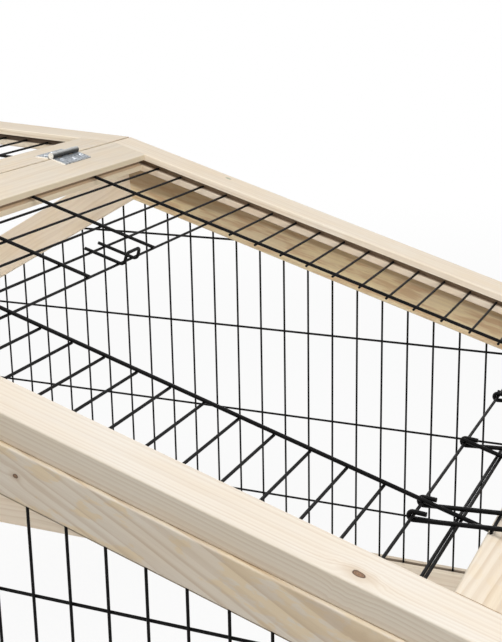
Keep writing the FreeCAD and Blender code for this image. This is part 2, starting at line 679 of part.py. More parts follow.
def hinges():
    length = "sizes.screw_length + sizes.leaf_thick - sizes.screw_play"
    for frame, label, ends, own in ((roofFrame, "roof", {"front": "-", "back": ""}, range(0, knuckles, 2)),
                                    (lidFrame, "lid", {"front": "", "back": "-"}, range(1, knuckles, 2))):
        screws = []
        for end, sign in ends.items():
            centre = f"{sign}{hingeCentre}"
            hingeLeaf(f"{end}_hinge_{label}_leaf", frame, centre, own)
            screws += [screw((u, f"{centre} + {shift}"), "z", "screw", "sizes.leaf_thick", length)
                       for u, shift in screwSpots]
        group(f"{label}_hinge_screws", frame, screws)
    for end, sign in (("front", "-"), ("back", "")):
        pin = rod("y", ("layout.axis_u", f"{sign}{hingeCentre} - sizes.hinge_length / 2", "layout.knuckle"),
                  "sizes.hinge_length", "sizes.pin_wide")
        group(f"{end}_hinge_pin", roofFrame, [pin])


def cornerScrews():
    for end, sign in (("front", "-"), ("back", "")):
        seat = f"{sign}(layout.gable_y + sizes.rail_thick / 2)"
        screws = [screw((f"{side}({sideX})", height), "y", "corner", seat,
                        "sizes.corner_length - sizes.screw_play", sign)
                  for side, slope in (("", rightRoof), ("-", leftRoof)) for height in cornerHeights(*slope)]
        group(f"{end}_corner_screws", place("layout.base_x", "0", "0"), screws)


hinges()
cornerScrews()

# Check everything, then write one file per piece
faults = [item.Label for item in doc.Objects if {"Invalid", "Error"} & set(item.State)]
faults += [item.Label for item in parts if item.Shape.isNull() or not item.Shape.isValid()]
if faults:
    raise RuntimeError(f"failed pieces: {faults}")
os.makedirs("parts", exist_ok=True)
for item in parts:
    item.Shape.exportStep(f"parts/{item.Label}.step")
for name in ("ridge_x", "base_x", "base_half", "hinge_off", "hinge_z", "door_off", "door_z", "door_angle"):
    print(name, round(getattr(layout, name), 4))
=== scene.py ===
import json
import math
import random

import bmesh
import bpy
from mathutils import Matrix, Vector


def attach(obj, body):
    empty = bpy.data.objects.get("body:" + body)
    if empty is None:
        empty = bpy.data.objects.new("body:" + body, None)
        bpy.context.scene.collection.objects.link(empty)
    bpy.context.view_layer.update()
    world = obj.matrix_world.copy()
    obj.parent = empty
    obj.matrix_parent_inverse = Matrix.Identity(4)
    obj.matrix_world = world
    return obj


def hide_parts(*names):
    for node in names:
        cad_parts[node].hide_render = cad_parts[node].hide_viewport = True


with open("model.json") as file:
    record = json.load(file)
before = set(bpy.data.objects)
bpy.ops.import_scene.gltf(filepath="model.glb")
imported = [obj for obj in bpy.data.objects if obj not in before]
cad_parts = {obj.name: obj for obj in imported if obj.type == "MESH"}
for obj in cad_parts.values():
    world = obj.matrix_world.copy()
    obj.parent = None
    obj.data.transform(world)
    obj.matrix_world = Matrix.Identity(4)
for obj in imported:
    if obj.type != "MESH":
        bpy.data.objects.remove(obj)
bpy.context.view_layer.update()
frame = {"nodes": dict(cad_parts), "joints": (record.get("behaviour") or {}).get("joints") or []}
nodes = frame["nodes"]
print("cage loaded:", len(nodes), "pieces")


class Signal:  # one socket of a finish, so that finishes are written as sums
    def __init__(self, tree, socket):
        self.tree = tree
        self.socket = socket

    def node(self, kind, settings=None, inputs=None, output=0):
        made = self.tree.nodes.new("ShaderNode" + kind)
        for name, value in (settings or {}).items():
            setattr(made, name, value)
        for name, value in (inputs or {}).items():
            if isinstance(value, Signal):
                self.tree.links.new(value.socket, made.inputs[name])
            else:
                made.inputs[name].default_value = value
        return Signal(self.tree, made.outputs[output])

    def maths(self, operation, first, second=0.0):
        return self.node("Math", {"operation": operation}, {0: first, 1: second})

    def __add__(self, other):
        return self.maths("ADD", self, other)

    def __radd__(self, other):
        return self.maths("ADD", other, self)

    def __sub__(self, other):
        return self.maths("SUBTRACT", self, other)

    def __rsub__(self, other):
        return self.maths("SUBTRACT", other, self)

    def __mul__(self, other):
        return self.maths("MULTIPLY", self, other)

    def __rmul__(self, other):
        return self.maths("MULTIPLY", other, self)

    def __truediv__(self, other):
        return self.maths("DIVIDE", self, other)

    def __rtruediv__(self, other):
        return self.maths("DIVIDE", other, self)

    def __pow__(self, other):
        return self.maths("POWER", self, other)

    def __rpow__(self, other):
        return self.maths("POWER", other, self)

    def __abs__(self):
        return self.maths("ABSOLUTE", self)

    def fraction(self):
        return self.maths("FRACT", self)

    def larger(self, other):
        return self.maths("MAXIMUM", self, other)

    def smaller(self, other):
        return self.maths("MINIMUM", self, other)

    def ramp(self, low, high):  # 0 below low, 1 above high, smooth between
        limits = {"Value": self, "From Min": low, "From Max": high}
        return self.node("MapRange", {"interpolation_type": "SMOOTHSTEP"}, limits)

    def dot(self, vector):
        return self.node("VectorMath", {"operation": "DOT_PRODUCT"}, {0: self, 1: vector}, "Value")

    def minus(self, vector):
        return self.node("VectorMath", {"operation": "SUBTRACT"}, {0: self, 1: vector})

    def scaled(self, scale, shift):  # each axis by its own scale, then moved
        return self.node("VectorMath", {"operation": "MULTIPLY_ADD"}, {0: self, 1: scale, 2: shift})

    def point(self, x, y, z):
        return self.node("CombineXYZ", None, {0: x, 1: y, 2: z})

    def noise(self, scale, detail=2.0, rough=0.5):
        settings = {"Vector": self, "Scale": scale, "Detail": detail, "Roughness": rough}
        return self.node("TexNoise", None, settings)

    def bump(self, strength, distance):  # normal raised by this height
        return self.node("Bump", None, {"Strength": strength, "Distance": distance, "Height": self})

    def tint(self, low, high):  # colour from low to high by this value
        mix = {0: self, 6: (*low, 1.0) if isinstance(low, tuple) else low,
               7: (*high, 1.0) if isinstance(high, tuple) else high}
        return self.node("Mix", {"data_type": "RGBA"}, mix, 2)


def newFinish(name, fixed):  # empty finish with its shader and a start for its sums
    finish = bpy.data.materials.new(name)
    finish.use_nodes = True
    shader = finish.node_tree.nodes["Principled BSDF"]
    for socket, value in fixed.items():
        shader.inputs[socket].default_value = value
    start = Signal(finish.node_tree, None)
    return finish, shader, start


def feed(shader, start, **sockets):
    for name, value in sockets.items():
        start.tree.links.new(value.socket, shader.inputs[name.replace("_", " ")])


# Timber: each board gets its own cut of softwood, in its own grain direction
timber = {
    "early": (0.850, 0.770, 0.655),     # pale spring wood
    "late": (0.520, 0.360, 0.215),      # summer lines
    "warm": (0.840, 0.700, 0.530),      # pinkish patches
    "heart": (0.760, 0.520, 0.320),     # orange heartwood
    "edge": (0.880, 0.795, 0.660),      # eased edges
    "sawn": (0.760, 0.650, 0.475),      # painted shade on the narrow sides, darker and warmer than the faces
    "knot": (0.290, 0.155, 0.080),
    "knotRing": (0.150, 0.075, 0.038),
    "bark": (0.060, 0.034, 0.020),      # dark ring round a knot
    "groove": (0.140, 0.092, 0.058),    # painted shade inside the slot
    "shadowBand": (0.270, 0.165, 0.080),     # painted shadow under a rail, mixed with dark streaks of the wood
    "rust": (0.640, 0.400, 0.215),      # short red streaks
    "yellow": (0.845, 0.685, 0.460),    # sappy patches
    "resin": (0.360, 0.400, 0.270),
    "brightest": 0.95,                  # no colour goes past this
    "specular": 0.4,
    "seed": 11,
}
boardNames = ("_rail", "_board", "_post", "_sill", "_stile")    # ends of their names

# what is drawn for each board, between two limits and in this order, after its pith and before its knots
chanceLook = {
    "lean": (-0.04, 0.04),       # how far the grain runs off, per mm along
    "ring": (3.0, 5.6),          # mm from ring to ring
    "contrast": (0.20, 0.45),    # strength of the summer lines
    "streak": (0.6, 1.1),
    "warmth": (0.05, 0.5),
    "tone": (0.96, 1.04),
    "heart": (0.0, 0.4),
    "blotch": (0.0, 0.3),        # strength of the sappy patches
    "seed": (0, 60),
}
chancePith = {"aside": (35, 90), "below": (25, 80)}    # mm from the middle of the board
chanceKnots = {"count": (0, 1, 1, 2), "along": 0.85, "across": 0.6, "size": (1.6, 4.6)}

# what a board has unless it is set below
plainLook = {
    "early": timber["early"],
    "inside": None,              # spring wood of the heart side, where it differs
    "heartSide": -1.0,           # 1 for the face that looks up, or else to the front or the door's side
    "sawn": 0.40,
    "mottle": 0.0,               # strength of the red streaks
    "shadowBand": None,
    "groove": timber["groove"],
    "slotDepthShade": 0.0,             # painted shade: how much the slot darkens towards its bottom
    "pockets": [],
}

# pith: middle of the rings, mm across and into the board
# knots and pockets: mm along and across from the middle of the board, and size in mm
# painted shadow band under the rail, mixed with dark streaks of the wood: mm across where it starts and is
# full, and mm along where it is widest and narrowest
boardLooks = {
    "roof_front_rake_rail": {
        "pith": (48.0, -76.0), "lean": 0.012, "ring": 2.3, "contrast": 0.24, "warmth": -0.10, "tone": 1.01,
        "early": (0.855, 0.788, 0.695),
        "knots": [(212.0, -9.0, 3.2)],
    },
    "roof_ridge_rail": {
        "pith": (-70.0, -52.0), "lean": 0.012, "ring": 5.2, "contrast": 0.16, "tone": 0.93,
        # the ridge rail's slot is painted warm orange for light bounced into it, with painted shade towards
        # its bottom
        "heart": 0.75, "sawn": 1.0, "groove": (0.81, 0.61, 0.40), "slotDepthShade": 0.85,
        "knots": [(-140.0, 6.0, 2.6)],
    },
    "roof_back_rake_rail": {
        "pith": (60.0, -45.0), "lean": -0.008, "ring": 4.6, "contrast": 0.20, "tone": 1.05,
        "sawn": 0.05, "groove": (0.300, 0.210, 0.135),
        "knots": [(238.0, 4.0, 3.0)],
        "pockets": [(-171.7, 8.6, 4.6)],
    },
    "back_right_rake_board": {
        "pith": (58.0, -40.0), "lean": 0.025, "ring": 3.6, "contrast": 0.16, "warmth": 0.0, "tone": 1.0,
        "heart": 0.05, "heartSide": 1.0, "inside": (0.95, 0.780, 0.475),
        "streak": 0.8, "blotch": 0.0, "mottle": 0.62,
        "shadowBand": {"from": 5.0, "full": 12.0, "share": 0.76, "widest": -285.0, "narrowest": -110.0},
        "knots": [(255.0, 5.0, 4.0)],
    },
    "back_left_rake_board": {
        "pith": (-84.0, -70.0), "lean": 0.02, "ring": 4.4, "contrast": 0.16, "warmth": 0.75, "tone": 1.06,
        "knots": [],
    },
    "front_right_rake_board": {
        "pith": (78.0, -38.0), "lean": -0.24, "ring": 6.4, "contrast": 0.46, "warmth": 0.15, "blotch": 0.80,
        "knots": [(-25.6, 5.3, 1.4), (236.0, -4.0, 3.6)],
    },
    "lid_back_rake_rail": {
        "pith": (58.0, -52.0), "lean": 0.014, "ring": 4.8, "contrast": 0.26, "tone": 1.02,
        "knots": [],
    },
    "lid_ridge_rail": {
        "pith": (66.0, -58.0), "lean": 0.010, "ring": 5.0, "contrast": 0.20, "tone": 0.93,
        "knots": [],
    },
}

boardShape = {
    "parallel": 0.99995,     # cosine from which two faces count as one side of a board
    "square": 0.1,           # cosine up to which two directions count as square to each other
    "slotHalf": 2.95,        # mm, half the width of the slot that takes the mesh
    "slotDeep": 6.0,         # mm
    "slotLimit": 0.2,        # mm, a point this near counts as on the slot's wall
}


def boardAxes(node):  # grain, width and thickness directions, centre, half sizes and slotted side of a board
    mesh = nodes[node].data
    sides = []
    for face in mesh.polygons:
        for side in sides:
            if abs(side[0].dot(face.normal)) > boardShape["parallel"]:
                side[1] += face.area
                break
        else:
            sides.append([face.normal.copy(), face.area])
    sides.sort(key=lambda side: -side[1])
    thick = sides[0][0]
    edge = next(side[0] for side in sides[1:] if abs(side[0].dot(thick)) < boardShape["square"])
    facing = thick.z if abs(thick.z) > boardShape["square"] else thick.x - thick.y
    thick = thick if facing > 0 else -thick  # looks up, or else to the front or the door's side
    grain = edge.cross(thick).normalized()
    grain = grain if max(grain, key=abs) > 0 else -grain
    width = thick.cross(grain).normalized()
    axes, middles, halves = (grain, width, thick), [], []
    for axis in axes:
        spread = [vertex.co.dot(axis) for vertex in mesh.vertices]
        middles.append((max(spread) + min(spread)) / 2)
        halves.append((max(spread) - min(spread)) / 2)
    slotSide = 0.0
    for vertex in mesh.vertices:
        fromWall = 1000 * abs(vertex.co.dot(thick) - middles[2]) - boardShape["slotHalf"]
        if abs(fromWall) < boardShape["slotLimit"]:
            slotSide += vertex.co.dot(width) - middles[1]
    return {
        "axes": axes,
        "centre": sum((axis * middle for axis, middle in zip(axes, middles)), Vector()),
        "half": [1000 * half for half in halves],
        "slot": 1.0 if slotSide > 0 else -1.0,
    }


# noises of the wood: scale per mm along, across and into the board, and which of the three the seed moves
# uneven and strength run over the rings instead: per mm from the pith, and per mm along
clouds = {
    "drift": {"scale": (0.0045, 0.010, 0.010), "seeded": (0, 0, 1), "detail": 2.0, "rough": 0.5},
    "wobble": {"scale": (0.15, 0.15, 0.0), "seeded": (0, 0, 1), "detail": 2.0, "rough": 0.5},
    "uneven": {"scale": (0.13, 0.0, 0.0), "seeded": (0, 1, 0), "detail": 2.0, "rough": 0.5},
    "strength": {"scale": (0.31, 0.003, 0.0), "seeded": (0, 0, 1), "detail": 2.0, "rough": 0.5},
    "fibre": {"scale": (0.035, 1.5, 1.5), "seeded": (0, 1, 0), "detail": 4.0, "rough": 0.62},
    "streak": {"scale": (0.007, 0.30, 0.30), "seeded": (0, 0, 1), "detail": 3.0, "rough": 0.55},
    "patch": {"scale": (0.010, 0.035, 0.035), "seeded": (0, 1, 0), "detail": 2.0, "rough": 0.5},
    "sap": {"scale": (0.028, 0.075, 0.075), "seeded": (0, 0, 1), "detail": 4.0, "rough": 0.6},
    "mottle": {"scale": (0.022, 0.20, 0.20), "seeded": (0, 0, 1), "detail": 3.0, "rough": 0.55},
}


def cloud(name, spot, seed):
    kind = clouds[name]
    shift = [seed * moved for moved in kind["seeded"]]
    return spot.scaled(kind["scale"], shift).noise(1.0, kind["detail"], kind["rough"])


def shadeOf(colour, tone):
    return tuple(min(value * tone, timber["brightest"]) for value in colour)


knotLook = {
    "squeeze": 0.72,            # along the grain, so that a knot is longer that way
    "face": 10.0,               # mm over the middle of the board, where its place holds
    "tilt": 0.15,               # leans by this much on its way through
    "outline": (0.65, 0.7),     # least and added share of its outline's wobble
    "push": 1.9,                # rings are pushed aside by this many knot radii
    "pushFade": 0.075,          # and how soon that fades
    "edge": (0.85, 1.12),       # these three in knot radii
    "halo": (0.9, 4.4),
    "bark": (0.55, 0.95),
    "rings": (2.3, 1.5),        # growth rings, and how much they wobble
    "ringEdge": (0.2, 0.9),
    "haloShare": 0.36,
    "coreShare": 0.94,
    "barkShare": 0.9,
}


def fromKnots(knots, along, across, deep, wobble):  # distance from each knot in knot radii
    least, added = knotLook["outline"]
    distances = []
    for knotAlong, knotAcross, size in knots:
        x = (along - knotAlong) * knotLook["squeeze"]
        y = across - knotAcross + (deep - knotLook["face"]) * knotLook["tilt"]
        distances.append((x * x + y * y) ** 0.5 * ((wobble * added + least) / size))
    return distances


def knotLayers(distances, wobble, late):
    if not distances:
        return []
    nearest = distances[0]
    for distance in distances[1:]:
        nearest = nearest.smaller(distance)
    rings, ringWobble = knotLook["rings"]
    growth = (nearest * rings + wobble * ringWobble).fraction().ramp(*knotLook["ringEdge"])
    core = 1 - nearest.ramp(*knotLook["edge"])
    return [
        ((1 - nearest.ramp(*knotLook["halo"])) ** 2 * knotLook["haloShare"], late),
        (core * knotLook["coreShare"], growth.tint(timber["knot"], timber["knotRing"])),
        (core * nearest.ramp(*knotLook["bark"]) * knotLook["barkShare"], timber["bark"]),
    ]


pocketLook = {
    "slim": 0.7,                # width as a share of the length
    "askew": 0.12,              # how far it runs off the grain
    "edge": (0.25, 1.0),
    "skin": (8.0, 9.0),         # mm over the middle of the board
    "share": 0.75,
}


def pocketLayers(pockets, along, across, deep):  # resin in the upper face
    layers = []
    for pocketAlong, pocketAcross, length in pockets:
        aside = along - pocketAlong
        x = aside / length
        y = (across - pocketAcross + aside * pocketLook["askew"]) / (length * pocketLook["slim"])
        pocket = (1 - (x * x + y * y).ramp(*pocketLook["edge"])) * deep.ramp(*pocketLook["skin"])
        layers.append((pocket * pocketLook["share"], timber["resin"]))
    return layers


ringLook = {
    "driftAcross": 16.0,        # mm that the pith wanders
    "driftDeep": 7.0,
    "uneven": 1.8,              # rings that the spacing wanders
    "rise": (0.25, 0.90),       # summer line in one ring, slow to start and sharp to end
    "fall": (0.91, 1.0),
    "strength": (0.30, 0.68),
    "lineShare": 0.8,           # shares of the summer lines: by strength, more on narrow sides, everywhere
    "lineSawn": 0.3,
    "lineLeast": 0.25,
}


def growthRings(spot, look, along, across, deep, distances):  # the summer lines and how strong each is
    seed = look["seed"]
    drift = cloud("drift", spot, seed) - 0.5
    aside = across - look["pith"][0] - along * look["lean"] + drift * ringLook["driftAcross"]
    below = deep - look["pith"][1] + drift * ringLook["driftDeep"]
    radius = (aside * aside + below * below) ** 0.5
    for distance, (_, _, size) in zip(distances, look["knots"]):
        fade = math.e ** (distance * distance * -knotLook["pushFade"])
        radius = radius + fade * (size * knotLook["push"])
    onRings = spot.point(radius, along, 0.0)
    ring = (radius / look["ring"] + cloud("uneven", onRings, seed) * ringLook["uneven"]).fraction()
    band = ring.ramp(*ringLook["rise"]) * (1 - ring.ramp(*ringLook["fall"]))
    return band, cloud("strength", onRings, seed).ramp(*ringLook["strength"])


patchLook = {
    "warm": (0.30, 0.75),       # limits of each noise, and shares of its colour
    "warmShare": 0.45,
    "warmthShare": 0.75,
    "sap": (0.50, 0.56),
    "heart": (0.38, 0.66),
    "heartShare": 0.6,
    "heartLeast": 0.4,
    "heartStart": 0.3,          # heartwood at the middle of the thickness
    "heartSlope": 0.07,         # and its rise per mm towards the heart side
    "mottle": (0.46, 0.64),
    "shadowBandWander": 8.0,         # mm that the streaks move the painted shadow band's edge
    "shadowBandWiden": 15.0,         # mm that it is wider at its wide end
    "shadowBandFibre": 0.2,
    "streak": (0.46, 0.86),
    "streakShare": 0.24,
    "fibre": (0.45, 0.8),
    "fibreShare": 0.13,
}
cutLook = {
    "sawn": (0.6, 0.95),        # how squarely a face looks sideways or endways
    "end": (0.55, 0.9),
    "endShare": 0.18,
    "endFibre": 0.35,
    "easedBy": 2.0,             # mm
    "easedFade": 1.5,
    "easedShare": 0.25,
    # painted shade in the slot: its reach past the walls and bottom, its fade towards the mouth, and its
    # darkest part
    "slotEdge": (0.01, 0.15),   # mm past the slot's walls
    "slotFloor": (0.5, 0.1),    # mm past its bottom
    "mouthFade": 3.0,           # mm past its mouth
    "mouthShare": 0.6,
    "darkUpTo": (0.2, 2.4),     # mm up from its bottom
}
planed = {
    "bump": 0.20,
    "bumpHigh": 0.0005,         # metres
    "fibreHigh": 0.6,
    "lineHigh": 0.35,
    "streakHigh": 0.2,
    "rough": 0.62,
    "fibreRough": 0.08,
    "lineSmooth": 0.08,
    "endRough": 0.16,
}


def nearEdge(way, reach):  # 1 at the edge of a board, 0 further in
    return (abs(way) - (reach - cutLook["easedBy"])).ramp(0.0, cutLook["easedFade"])


def slotShadeLayers(board, look, across, deep):  # painted shade in the slot that takes the mesh, strongest at its bottom and fading towards its mouth
    half, bottom = boardShape["slotHalf"], boardShape["slotDeep"]
    fromBottom = across * board["slot"] - (board["half"][1] - bottom)
    walls = 1 - abs(deep).ramp(*(half + past for past in cutLook["slotEdge"]))
    inSlot = walls * fromBottom.ramp(*(-past for past in cutLook["slotFloor"]))
    toMouth = fromBottom.ramp(0.0, bottom + cutLook["mouthFade"])
    layers = [(inSlot * (1 - toMouth * cutLook["mouthShare"]), look["groove"])]
    if look["slotDepthShade"]:
        shadow = 1 - fromBottom.ramp(*cutLook["darkUpTo"])
        layers.append((inSlot * shadow * look["slotDepthShade"], timber["groove"]))
    return layers


def softwood(node, board, look):
    finish, shader, start = newFinish("softwood_" + node, {"Specular IOR Level": timber["specular"]})
    seed, half = look["seed"], board["half"]
    place = start.node("TexCoord", None, None, "Object").minus(board["centre"])
    along, across, deep = (place.dot(axis * 1000) for axis in board["axes"])  # millimetres on the board
    facing = start.node("TexCoord", None, None, "Normal")
    sawn = abs(facing.dot(board["axes"][1])).ramp(*cutLook["sawn"])
    endGrain = abs(facing.dot(board["axes"][0])).ramp(*cutLook["end"])

    spot = start.point(along, across, deep)
    leaned = start.point(along, across - along * look["lean"], deep)
    wobble, fibre, patch, sap = (cloud(name, spot, seed) for name in ("wobble", "fibre", "patch", "sap"))
    streak = cloud("streak", leaned, seed)
    distances = fromKnots(look["knots"], along, across, deep, wobble)
    band, strength = growthRings(spot, look, along, across, deep, distances)

    warm, late, heart, side = (shadeOf(timber[name], look["tone"])
                               for name in ("warm", "late", "heart", "sawn"))
    early = shadeOf(look["early"], look["tone"])
    towardsHeart = deep * (patchLook["heartSlope"] * look["heartSide"])
    inHeart = (towardsHeart + patchLook["heartStart"]).ramp(0.0, 1.0)
    if look["inside"]:
        early = inHeart.tint(early, shadeOf(look["inside"], look["tone"]))
    warmth = patch.ramp(*patchLook["warm"]) * patchLook["warmShare"]
    colour = (warmth + look["warmth"] * patchLook["warmthShare"]).tint(early, warm)

    # layers of colour, each a share and what it paints
    heartShare = patch.ramp(*patchLook["heart"]) * patchLook["heartShare"] + patchLook["heartLeast"]
    lines = strength * ringLook["lineShare"] + sawn * ringLook["lineSawn"] + ringLook["lineLeast"]
    layers = [
        (sap.ramp(*patchLook["sap"]) * look["blotch"], timber["yellow"]),
        (heartShare * inHeart * look["heart"], heart),
        # painted shade on the narrow sides
        (sawn * look["sawn"], side),
        (band * lines * look["contrast"], late),
    ]
    if look["mottle"]:
        mottle = cloud("mottle", leaned, seed).ramp(*patchLook["mottle"])
        layers.append((mottle * inHeart * look["mottle"], timber["rust"]))
    # painted shadow of the rail above, wider towards the ridge, mixed with dark streaks of the wood
    if look["shadowBand"]:
        shadowBand = look["shadowBand"]
        wider = (1 - along.ramp(shadowBand["widest"], shadowBand["narrowest"])) * patchLook["shadowBandWiden"]
        height = across + (streak - 0.5) * patchLook["shadowBandWander"] + wider
        inBand = height.ramp(shadowBand["from"], shadowBand["full"]) * inHeart
        layers.append((inBand * (shadowBand["share"] - fibre * patchLook["shadowBandFibre"]), timber["shadowBand"]))
    soft = streak.ramp(*patchLook["streak"]) * patchLook["streakShare"]
    fine = fibre.ramp(*patchLook["fibre"]) * patchLook["fibreShare"]
    layers.append(((soft + fine) * look["streak"], late))
    layers += knotLayers(distances, wobble, late)
    layers += pocketLayers(look["pockets"], along, across, deep)

    # end grain, sanded edges and the painted shade in the slot
    layers.append((endGrain * (fibre * cutLook["endFibre"] + cutLook["endShare"]), late))
    eased = nearEdge(across, half[1]) * nearEdge(deep, half[2])
    layers.append((eased * cutLook["easedShare"], timber["edge"]))
    layers += slotShadeLayers(board, look, across, deep)
    for share, paint in layers:
        colour = share.tint(colour, paint)

    relief = fibre * planed["fibreHigh"] + band * planed["lineHigh"] + streak * planed["streakHigh"]
    normal = relief.bump(planed["bump"], planed["bumpHigh"])
    rough = planed["rough"] - band * planed["lineSmooth"] + endGrain * planed["endRough"]
    feed(shader, start, Base_Color=colour, Roughness=rough + fibre * planed["fibreRough"], Normal=normal)
    return finish


def drawLook(node, half, draw):  # look drawn for a board, under what is set for it
    look = dict(plainLook)
    look["pith"] = (draw.choice((-1, 1)) * draw.uniform(*chancePith["aside"]),
                    -draw.uniform(*chancePith["below"]))
    for name, limits in chanceLook.items():
        look[name] = draw.uniform(*limits)
    reachAlong, reachAcross = chanceKnots["along"], chanceKnots["across"]
    look["knots"] = [(draw.uniform(-reachAlong, reachAlong) * half[0],
                      draw.uniform(-reachAcross, reachAcross) * half[1],
                      draw.uniform(*chanceKnots["size"])) for _ in range(draw.choice(chanceKnots["count"]))]
    look.update(boardLooks.get(node, {}))
    return look


def dressTimber():
    draw = random.Random(timber["seed"])
    boards = [name for name in sorted(nodes) if name.endswith(boardNames)]
    for node in boards:
        board = boardAxes(node)
        nodes[node].material_slots[0].material = softwood(node, board, drawLook(node, board["half"], draw))
    print("timber dressed:", len(boards), "boards")


dressTimber()

# Wires: black baked coat over drawn wire
coat = {
    "black": (0.0022, 0.0020, 0.0021),
    "worn": (0.010, 0.009, 0.0095),
    "specular": 0.11,
    "peel": (900.0, 2.0, 0.5),  # noises: scale, detail and roughness
    "dust": (60.0, 3.0, 0.6),
    "dusty": (0.45, 0.8),
    "bump": 0.25,
    "bumpHigh": 0.0002,         # metres
    "rough": 0.38,
    "dustRough": 0.22,
}


def coatedWire():
    finish, shader, start = newFinish("coated_wire", {"Specular IOR Level": coat["specular"]})
    spot = start.node("TexCoord", None, None, "Object")
    dust = spot.noise(*coat["dust"])
    colour = dust.ramp(*coat["dusty"]).tint(coat["black"], coat["worn"])
    rough = coat["rough"] + dust * coat["dustRough"]
    normal = spot.noise(*coat["peel"]).bump(coat["bump"], coat["bumpHigh"])
    feed(shader, start, Base_Color=colour, Roughness=rough, Normal=normal)
    return finish


def dressWires():
    wireFinish = coatedWire()
    wires = [name for name in sorted(nodes) if name.endswith("_wires") or name == "latch_staple"]
    for node in wires:
        nodes[node].material_slots[0].material = wireFinish
    print("wires coated:", len(wires))


dressWires()

# Ironmongery: bright zinc hinges and cross-slotted screws
zinc = {
    "leaf": (0.480, 0.505, 0.530),
    "leafDull": 0.6,
    "head": (0.800, 0.820, 0.840),
    "headDull": 0.3,
    "blue": (0.300, 0.335, 0.375),
    "grey": (0.130, 0.136, 0.142),
    "flake": 560.0,                      # scale of the crystals
    "flakeGrey": (0.34, 0.33, 0.33),     # makes one grey of their chance colours
    "flakeEdge": (0.25, 0.75),
    "flakeShare": 0.7,
    "flakeDull": (0.58, 0.72),
    "smear": (240.0, 4.0, 0.6),          # noise over them: scale, detail and roughness
    "smearEdge": (0.35, 0.7),
    "smearShare": 0.3,
    "cut": (0.860, 0.860, 0.830),        # painted highlight on the end faces at the pin's ends
    "litEndReach": (-0.5, -0.3),            # mm from the end of the pin
    "litEndFacing": (0.6, 0.9),
    "rollLitTop": (0.560, 0.570, 0.560),    # rolled knuckles, painted lighter on top and painted shade underneath, standing in for their reflections
    "rollShadedUnder": (0.050, 0.051, 0.049),
    "rollReach": (3.15, 3.55),           # mm from the hinge pin
    "rollShadeWay": (0.5, 0, -0.87),         # way that the side with the painted shade looks
    "rollEdge": (-0.55, 0.65),
    "rollSmear": 0.4,
    "rough": 0.30,
    "smearRough": 0.20,
    "flakeRough": 0.10,
    "flakeHigh": 0.4,
    "bump": 0.2,
    "bumpHigh": 0.0002,                  # metres
}
lidPin = Vector(next(joint["pos_m"] for joint in frame["joints"] if joint["name"] == "lid_hinge"))
pinEnds = [1000 * vertex.co.y for vertex in nodes["back_hinge_pin"].data.vertices]
pinMiddle = (min(pinEnds) + max(pinEnds)) / 2
pinHalf = (max(pinEnds) - min(pinEnds)) / 2


def platedZinc(name, pale, dull):
    finish, shader, start = newFinish(name, {"Metallic": 1.0})
    spot = start.node("TexCoord", None, None, "Object")
    facing = start.node("TexCoord", None, None, "Normal")
    crystals = start.node("TexVoronoi", None, {"Vector": spot, "Scale": zinc["flake"]}, "Color")
    flake = crystals.dot(zinc["flakeGrey"])
    smear = spot.noise(*zinc["smear"])
    bluish = flake.ramp(*zinc["flakeEdge"]) * zinc["flakeShare"]
    bluish = bluish + smear.ramp(*zinc["smearEdge"]) * zinc["smearShare"]
    colour = bluish.tint(pale, zinc["blue"])
    colour = (flake.ramp(*zinc["flakeDull"]) * dull).tint(colour, zinc["grey"])

    # knuckles round the pin, painted lighter on top and painted shade underneath, and a painted highlight on
    # their ends
    fromPin = spot.minus(lidPin)
    aside, endways, above = (fromPin.dot(axis) for axis in ((1000, 0, 0), (0, 1000, 0), (0, 0, 1000)))
    roll = 1 - ((aside * aside + above * above) ** 0.5).ramp(*zinc["rollReach"])
    under = (facing.dot(zinc["rollShadeWay"]) + smear * zinc["rollSmear"]).ramp(*zinc["rollEdge"])
    atEnd = abs(abs(endways) - pinMiddle) - pinHalf
    litEnds = abs(facing.dot((0, 1, 0))).ramp(*zinc["litEndFacing"]) * atEnd.ramp(*zinc["litEndReach"])
    colour = roll.tint(colour, under.tint(zinc["rollLitTop"], zinc["rollShadedUnder"]))
    # painted highlight on the end faces
    colour = litEnds.tint(colour, zinc["cut"])

    rough = zinc["rough"] + smear * zinc["smearRough"] + flake * zinc["flakeRough"]
    normal = (smear + flake * zinc["flakeHigh"]).bump(zinc["bump"], zinc["bumpHigh"])
    feed(shader, start, Base_Color=colour, Roughness=rough, Normal=normal)
    return finish


leafFinish = platedZinc("hinge_zinc", zinc["leaf"], zinc["leafDull"])
screwFinish = platedZinc("screw_zinc", zinc["head"], zinc["headDull"])
hinges = [name for name in sorted(nodes) if "_hinge_" in name and not name.endswith("_screws")]
for hingeNode in hinges:
    nodes[hingeNode].material_slots[0].material = leafFinish
print("hinges plated:", len(hinges))

# metres: radius and height of the head, reach and half width of the cross slot, and its depth
screwHead = {
    "hinge": {"wide": 0.0029, "high": 0.0011, "arm": 0.00155, "slot": 0.00042, "depth": 0.0008},
    "corner": {"wide": 0.0042, "high": 0.0019, "arm": 0.0023, "slot": 0.0006, "depth": 0.0013},
}
screwForm = {
    "shank": (0.40, 0.42),      # tip and neck, as shares of the head's radius
    "dome": [(1.0, 1.0), (1.0, 0.80), (0.96, 0.45), (0.86, 0.14), (0.74, 0.0)],  # radius, way down the head
    "slotFloor": 0.55,          # floor of the cross slot, as a share of its mouth
    "corners": 28,
    "firstTurn": 0.5,           # radians, each cross slot turned on from the last
    "nextTurn": 1.9,
    "weld": 1e-6,               # metres
}


